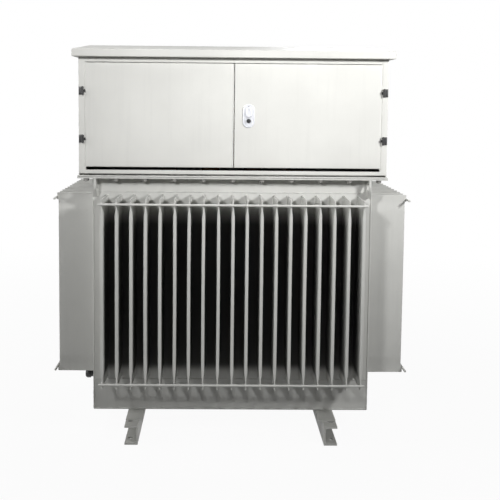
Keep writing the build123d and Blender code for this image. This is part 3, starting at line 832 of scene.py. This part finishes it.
def strip(x_low, x_high, z_low, z_high):
    """A flat strip behind the line of the door faces, which closes most of a door gap."""
    front, back = -cabinet_y + strip_front, -cabinet_y + strip_back
    return rounded_block((x_low, front, z_low), (x_high, back, z_high), edge_ease)


post_strip = strip(-post_x - strip_dip, -post_x + strip_width, sill_high, header_low)
header_strip = strip(-post_x, post_x, header_low - strip_width, header_low + strip_dip)
piece("door_edge_strips", [post_strip, mirrored(post_strip, -1), header_strip], cabinet_paint)
low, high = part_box("left_door")
free_edge = strip(high.x - strip_dip, high.x + meeting_strip, low.z + meeting_foot, header_low - meeting_head)
piece("meeting_strip", [free_edge], cabinet_paint, body="left_door")


# Hinges
hinge_length = 28 * MM
hinge_knuckle = 9 * MM
hinge_stand = 7 * MM
hinge_leaf = 14 * MM
leaf_plate = 2 * MM
leaf_ease = 0.5 * MM
knuckle_ease = 0.7 * MM
neck_ease = 0.4 * MM
knuckle_gap = 0.1 * MM
knuckle_head_gap = 0.2 * MM
neck_gap = 0.3 * MM
neck_head_gap = 0.4 * MM
neck_setback = 0.5 * MM
hinge_screw_radius = 2.4 * MM
hinge_screw_height = 0.9 * MM


def knuckle(low, high):
    """One knuckle of a hinge: a short tube with eased ends."""
    radius = hinge_knuckle / 2
    narrow = radius - knuckle_ease
    outline = [(narrow, low), (radius, low + knuckle_ease), (radius, high - knuckle_ease), (narrow, high)]
    return lathe(outline, 20)


def screw_head(radius, height):
    """A flat screw head that faces -Y, hollowed a little in its middle."""
    outline = [(radius * 0.25, -height * 0.4), (radius * 0.4, -height), (radius * 0.8, -height),
               (radius, -height * 0.5), (radius, 0.2 * MM)]
    return lathe(outline, 12, axis="y")


def hinge_pair(side, sign):
    """The two hinges of a door. The outer knuckles, leaf, pin ends and screws stay on the post, and
    the middle knuckle with its angled strap swings with the door."""
    low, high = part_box(side + "_post_hinges")
    door_low, door_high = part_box(side + "_door_hinges")
    pin_x = hinge_leaf - max(abs(low.x), abs(high.x))
    pin_y = -cabinet_y - hinge_stand
    inner = -min(abs(door_low.x), abs(door_high.x))
    leaf_y = -cabinet_y - leaf_plate
    half = hinge_knuckle / 2
    post, door = [], []
    for bottom in (low.z, high.z - hinge_length):
        cuts = bottom + hinge_length * np.arange(4) / 3
        leaf_low, leaf_high = (pin_x - hinge_leaf, leaf_y, bottom), (pin_x, -cabinet_y, cuts[3])
        post.append(rounded_block(leaf_low, leaf_high, leaf_ease))
        for start, end in (cuts[:2], cuts[2:]):
            post.append(shifted(knuckle(start + knuckle_gap, end - knuckle_head_gap), (pin_x, pin_y, 0)))
            neck_low = (pin_x - half, pin_y, start + neck_gap)
            neck_high = (pin_x - neck_setback, -cabinet_y, end - neck_head_gap)
            post.append(rounded_block(neck_low, neck_high, neck_ease))
        pin = mm((2.2, -0.9), (2.8, 0), (2.8, 0), (2.2, 0.9))
        pin[2:, 1] += hinge_length
        post.append(shifted(lathe(pin, 14), (pin_x, pin_y, bottom)))
        for rise in (0.25, 0.75):
            place = (pin_x - hinge_leaf * 0.66, leaf_y, bottom + rise * hinge_length)
            post.append(shifted(screw_head(hinge_screw_radius, hinge_screw_height), place))
        start, end = cuts[1:3]
        door.append(shifted(knuckle(start + knuckle_gap, end - knuckle_gap), (pin_x, pin_y, 0)))
        foot, head = start + neck_gap, end - neck_gap
        front, back = pin_y - leaf_plate, pin_y + leaf_plate
        door.append(rounded_block((pin_x, front, foot), (inner, back, head), neck_ease))
        door.append(rounded_block((inner - leaf_plate, front, foot), (inner, door_high.y, head), neck_ease))
    post = [mirrored(part, sign) for part in post]
    door = [mirrored(part, sign) for part in door]
    piece(side + "_hinge_leaves", post, hinge_black, replaces=(side + "_post_hinges",), slot="black_hinge")
    piece(side + "_hinge_straps", door, hinge_black, body=side + "_door",
          replaces=(side + "_door_hinges",), slot="black_hinge")


hinge_pair("left", 1)
hinge_pair("right", -1)


# Lock
lever_gap = 10.5 * MM
shaft_radius = 4.6 * MM
shaft_rise = 17 * MM
plate_screw_inset = 8 * MM
shaft_inset = 3 * MM
plate_screw_radius = 1.9 * MM
plate_screw_height = 0.5 * MM
plate_screw_sink = 0.4 * MM


def set_back(face, *rows):
    """(inset or radius, y) points from rows in millimetres, with y counted from a face."""
    return mm(*rows) + (0, face)


def door_lock():
    """Plate, lever and key cylinder on the right door, each a stack of rings that faces -Y."""
    plate_low, plate_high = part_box("lock_plate")
    lever_low, lever_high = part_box("lock_lever")
    barrel_low, barrel_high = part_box("lock_cylinder")
    face, lever_face, nose = plate_low.y, lever_low.y, barrel_low.y
    middle = (plate_low + plate_high) / 2
    barrel_z = (barrel_low.z + barrel_high.z) / 2
    facts = {"body": "right_door", "slot": "lock_metal"}
    rows = (0, 2.2), (0.6, 0.8), (2.2, 0), (3.4, 0), (4.0, 0.7), (5.2, 0.7), (5.8, 0.1)
    rings = np.r_[[(0, plate_high.y)], set_back(face, *rows)]
    size = plate_high - plate_low
    plate = pill(size.x, size.z, rings, (middle.x, middle.z), 15)
    piece("lock_face_plate", [plate], lock_metal, replaces=("lock_plate",), **facts)
    rows = (0, 2.4), (0.8, 0.9), (2.6, 0), (5.4, 0), (6.2, 1.4), (8.6, 1.9)
    rings = np.r_[set_back(face, (1.2, -0.3), (0, -1.2)), set_back(lever_face, *rows)]
    foot = barrel_z + lever_gap
    lever_middle = (middle.x, (lever_high.z + foot) / 2)
    lever = pill(lever_high.x - lever_low.x, lever_high.z - foot, rings, lever_middle, 11)
    shaft = [(shaft_radius, lever_face + shaft_inset), (shaft_radius, lever_high.y)]
    shaft = shifted(lathe(shaft, 20, axis="y"), (middle.x, 0, middle.z + shaft_rise))
    piece("lock_pull_lever", [lever, shaft], lock_metal, replaces=("lock_lever",), **facts)
    spot = (middle.x, 0, barrel_z)
    rings = set_back(nose, (4.4, 1.0), (4.9, 0), (6.7, 0), (7.5, 0.9))
    collar = lathe(np.concatenate([rings, [(rings[-1, 0], barrel_high.y)]]), 32, axis="y")
    plug = lathe(set_back(nose, (1.0, 0.4), (3.6, 0.4), (4.3, 0.9), (4.3, 4)), 24, axis="y")
    piece("lock_key_cylinder", [shifted(collar, spot)], lock_dark, replaces=("lock_cylinder",), **facts)
    piece("lock_key_plug", [shifted(plug, spot)], lock_dark, **facts)
    slot_low, slot_high = mm(-0.7, 0.1, -2.6) + (0, nose, 0), mm(0.7, 2, 2.6) + (0, nose, 0)
    key_slot = shifted(rounded_block(slot_low, slot_high, edge_ease), spot)
    screw_place = (middle.x, face + plate_screw_sink, plate_high.z - plate_screw_inset)
    screw = shifted(screw_head(plate_screw_radius, plate_screw_height), screw_place)
    piece("keyhole_and_screw", [key_slot, screw], lock_dark, body="right_door")


door_lock()


# Terminals under the roof
tall_body = 31 * MM
short_body = 26 * MM
stud_radius = 6 * MM
thread_pitch = 1.75 * MM
thread_depth = 0.9 * MM
skirts_from = 20 * MM
skirts_end = 10 * MM


def bushing_outline(height, body, foot, skirts, reach):
    """(radius, height) of a glazed insulator: a foot, then skirts that droop outwards to reach and
    come back to the body in soft curves, and a rounded head."""
    outline = [(foot * 0.9, 0), (foot, 2 * MM), (foot, 12 * MM), (foot * 0.93, 15 * MM), (body, 18 * MM)]
    step = (height - skirts_from - skirts_end) / skirts
    rise = np.array([0.30, 0.34, 0.42, 0.47, 0.52, 0.66, 0.84])
    share = np.array([0.05, 0.55, 0.96, 1.0, 0.93, 0.45, 0.08])
    for index in range(skirts):
        base = skirts_from + index * step
        outline += [(body + s * (reach - body), base + r * step) for r, s in zip(rise, share)]
    outline += [(body, height - 5 * MM), (body * 0.9, height - 1 * MM), (body * 0.6, height)]
    return outline


def insulators(name, node, count, body, foot, skirts, reach, sides):
    """A row of insulators at even places along X, the first and last at the ends of the row's box.
    Foot and reach are factors of half the box's depth."""
    low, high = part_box(node)
    half = (high.y - low.y) / 2
    outline = bushing_outline(high.z - low.z, body, foot * half, skirts, reach * half)
    places = [(x, (low.y + high.y) / 2, low.z) for x in np.linspace(low.x + half, high.x - half, count)]
    row = repeated(lathe(outline, sides), places)
    piece(name, [row], porcelain, replaces=(node,), slot="porcelain", angle=50)
    return places


tall_places = insulators("tall_insulators", "high_voltage_bushings", 3, tall_body, 0.98, 4, 1, 48)
insulators("short_insulators", "low_voltage_bushings", 4, short_body, 1, 2, 0.97, 44)


def stud_parts():
    """Stud, two washers and two nuts on each tall insulator. The stud's radius goes up and down once
    for each turn of its thread."""
    low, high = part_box("high_voltage_studs")
    half_turns = np.arange(2 * int((high.z - low.z) / thread_pitch) + 1)
    radii = stud_radius - thread_depth * (half_turns % 2 == 0)
    stud = lathe(np.c_[radii, half_turns * thread_pitch / 2], 16)
    washer = lathe(mm((6, 0), (12, 0), (12, 2.5), (6, 2.5)), 20)
    nut = lathe(mm((9.6, 0), (10.4, 1), (10.4, 9), (9.6, 10)), 6)
    parts = []
    for part, rises in ((stud, mm(0)), (washer, mm(0, 12.5)), (nut, mm(2.5, 15))):
        parts.append(repeated(part, [(x, y, low.z + rise) for rise in rises for x, y, _ in tall_places]))
    return parts


piece("threaded_studs", stud_parts(), brass, replaces=("high_voltage_studs",), slot="brass_terminal")


# Drain valve
def valve_parts():
    """Neck, ribbed body, eight-sided cap, plug and collar along -X, each turned about the middle of
    the valve. Body and collar are counted from the wall, cap and plug from the valve's end."""
    low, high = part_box("drain_valve")
    wall, end = (0, high.x), (0, low.x)
    corner = (high.y - low.y) / 2 / math.cos(math.pi / 8)
    body = mm((9, 0), (9, -24), (11.5, -27), (13, -29), (13, -36), (12, -37.5), (12, -44),
              (13, -45.5), (13, -58.5)) + wall
    cap = mm((-2, 22), (0, 19), (0, 7), (-2, 3), (-5.5, 0)) + end + (corner, 0)
    plug = mm((7, 0.4), (6.6, 0.1)) + end
    collar = mm((16, 0), (16, -1.5), (13, -4.5), (9, -5)) + wall
    turned = [(body, 28, 0), (cap, 8, math.pi / 8), (plug, 6, 0), (collar, 24, 0)]
    place = (0, (low.y + high.y) / 2, (low.z + high.z) / 2)
    return [shifted(lathe(outline[::-1], sides, spin, "x"), place) for outline, sides, spin in turned]


piece("drain_valve_body", valve_parts(), valve_black, replaces=("drain_valve",), slot="black_valve", angle=40)


# Small bolts of the cabinet
back_bolt_inset = 9 * MM
foot_bolt_inset = 13 * MM
back_bolts_from = 45 * MM
back_bolts_to = 40 * MM
foot_bolts_reach = 300 * MM


def small_bolts():
    """Washer and hexagon head of each bolt: down both edges of the back panel, and on the flanges
    that stand on the cover."""
    head = mm((6.05, 0.8), (6.05, 4), (5.5, 5))
    disc = mm((8.4, -0.2), (8.4, 0.9), (8, 1.3))
    heights = np.linspace(cabinet_low + back_bolts_from, cabinet_high - back_bolts_to, 5)
    depths = np.linspace(-foot_bolts_reach, foot_bolts_reach, 5)
    back_x, foot_x = cabinet_x - back_bolt_inset, cabinet_x - foot_bolt_inset
    back = [(sign * back_x, cabinet_y, z) for sign in (-1, 1) for z in heights]
    foot = [(sign * foot_x, y, cabinet_low + sheet) for sign in (-1, 1) for y in depths]
    parts = []
    for outline, sides in ((head, 6), (disc, 16)):
        parts.append(repeated(lathe(outline, sides, axis="y"), back))
        parts.append(repeated(lathe(outline, sides), foot))
    return parts


piece("cabinet_bolts", small_bolts(), bolt_zinc)


# Nodes of the CAD model that keep their own shape
for node, material in (
    ("core_and_oil", oil_block),
    ("cover_gasket", rubber),
    ("lifting_lugs", tank_paint),
    ("left_base_rail", rail_paint),
    ("right_base_rail", rail_paint),
    ("rail_pads", rail_paint),
    ("low_voltage_palms", brass),
    ("lock_cam", lock_metal),
):
    nodes[node].data.materials.clear()
    nodes[node].data.materials.append(material)


# Floor, light and camera
def shows_white(tree):
    """1 for what the camera, a reflection or clear matter sees, and 0 for light that falls: the
    larger of three outputs of Light Path."""
    seen = tree.nodes.new("ShaderNodeLightPath")
    value = seen.outputs["Is Camera Ray"]
    for ray in ("Is Transmission Ray", "Is Glossy Ray"):
        larger = tree.nodes.new("ShaderNodeMath")
        larger.operation = "MAXIMUM"
        tree.links.new(value, larger.inputs[0])
        tree.links.new(seen.outputs[ray], larger.inputs[1])
        value = larger.outputs[0]
    return value


def studio_floor():
    """A wide pale floor that shows white to the camera and still takes the object's shadow."""
    corners = np.array([(-1, -1, 0), (1, -1, 0), (1, 1, 0), (-1, 1, 0)]) * floor_half
    mesh = bpy.data.meshes.new("studio_floor")
    mesh.from_pydata(corners.tolist(), [], [(0, 1, 2, 3)])
    floor = placed("studio_floor", mesh)
    f = Finish("floor white")
    f.shader.inputs["Base Color"].default_value = (0.6, 0.6, 0.6, 1)
    f.shader.inputs["Roughness"].default_value = 0.9
    f.shader.inputs["Specular IOR Level"].default_value = 0.1
    glow = f.node("ShaderNodeEmission", Color=(1, 1, 1, 1))
    distance = f.node("ShaderNodeVectorMath", operation="LENGTH")
    f.link(f.place, distance.inputs[0])
    share = f.node("ShaderNodeMath", operation="MULTIPLY")
    f.link(shows_white(f.tree), share.inputs[0])
    f.link(f.ramp(distance.outputs["Value"], 0.8, 3.5, 0.95, 1.0), share.inputs[1])
    mix = f.node("ShaderNodeMixShader")
    f.link(share.outputs[0], mix.inputs[0])
    f.link(f.shader.outputs[0], mix.inputs[1])
    f.link(glow.outputs[0], mix.inputs[2])
    f.link(mix.outputs[0], f.tree.nodes["Material Output"].inputs["Surface"])
    mesh.materials.append(f.material)


def sky():
    """White behind the object, and a dim even light from all round."""
    world = bpy.data.worlds.new("studio white")
    bpy.context.scene.world = world
    world.use_nodes = True
    tree = world.node_tree
    strength = tree.nodes.new("ShaderNodeMapRange")
    strength.inputs["To Min"].default_value = ambient
    strength.inputs["To Max"].default_value = 1.0
    tree.links.new(shows_white(tree), strength.inputs["Value"])
    background = tree.nodes["Background"]
    background.inputs["Color"].default_value = (1, 1, 1, 1)
    tree.links.new(strength.outputs["Result"], background.inputs["Strength"])


def lamp(name, place, target, size, power, spread=180):
    """A square soft lamp at a place, turned to face a target. Its beam narrows with the spread."""
    light = bpy.data.lights.new(name, "AREA")
    light.shape = "SQUARE"
    light.size = size
    light.energy = power
    light.spread = math.radians(spread)
    holder = placed(name, light)
    holder.location = place
    holder.rotation_euler = (Vector(target) - Vector(place)).to_track_quat("-Z", "Y").to_euler()
    holder.visible_camera = False


floor_half = 14.0
ambient = 0.015
studio_floor()
sky()
lamp("key lamp", (1.6, -1.75, 1.74), (0.25, -0.35, 1.25), 0.3, 10.6, 90)
lamp("front lamp", (-1.1, -2.9, 2.03), (0.0, -0.35, 1.3), 0.3, 5.7, 60)
lamp("overhead lamp", (-2.3, -0.4, 3.0), (-0.3, 0, 0.9), 1.2, 16, 120)
lamp("side lamp", (-3.4, -0.9, 1.7), (-0.4, -0.1, 0.8), 0.8, 5.5, 100)
lamp("rear lamp", (1.6, 4.2, 2.8), (0, 0, 0.8), 2.2, 84)

# The camera stands a little left of the middle and looks slightly down, as the photograph does.
image_side = 500
focal_px = 782.7
camera_place = (-0.0597, -3.0952, 1.1982)
look_down, look_right, tilt = 0.0744, 0.0105, 0.0090


def camera():
    """Builds the camera's right, up and back directions from its three small angles."""
    ahead = Vector((
        math.sin(look_right) * math.cos(look_down),
        math.cos(look_right) * math.cos(look_down),
        -math.sin(look_down),
    ))
    level_right = Vector((math.cos(look_right), -math.sin(look_right), 0))
    level_up = level_right.cross(ahead)
    right = math.cos(tilt) * level_right + math.sin(tilt) * level_up
    up = math.cos(tilt) * level_up - math.sin(tilt) * level_right
    data = bpy.data.cameras.new("camera")
    data.sensor_width = 36
    data.lens = 36 * focal_px / image_side
    data.shift_x = 0.0514
    data.shift_y = -0.18
    data.clip_end = 60
    holder = placed("camera", data)
    turn = Matrix((right, up, -ahead)).transposed().to_4x4()
    holder.matrix_world = Matrix.Translation(camera_place) @ turn
    bpy.context.scene.camera = holder


camera()
bpy.context.scene.view_settings.view_transform = "Standard"
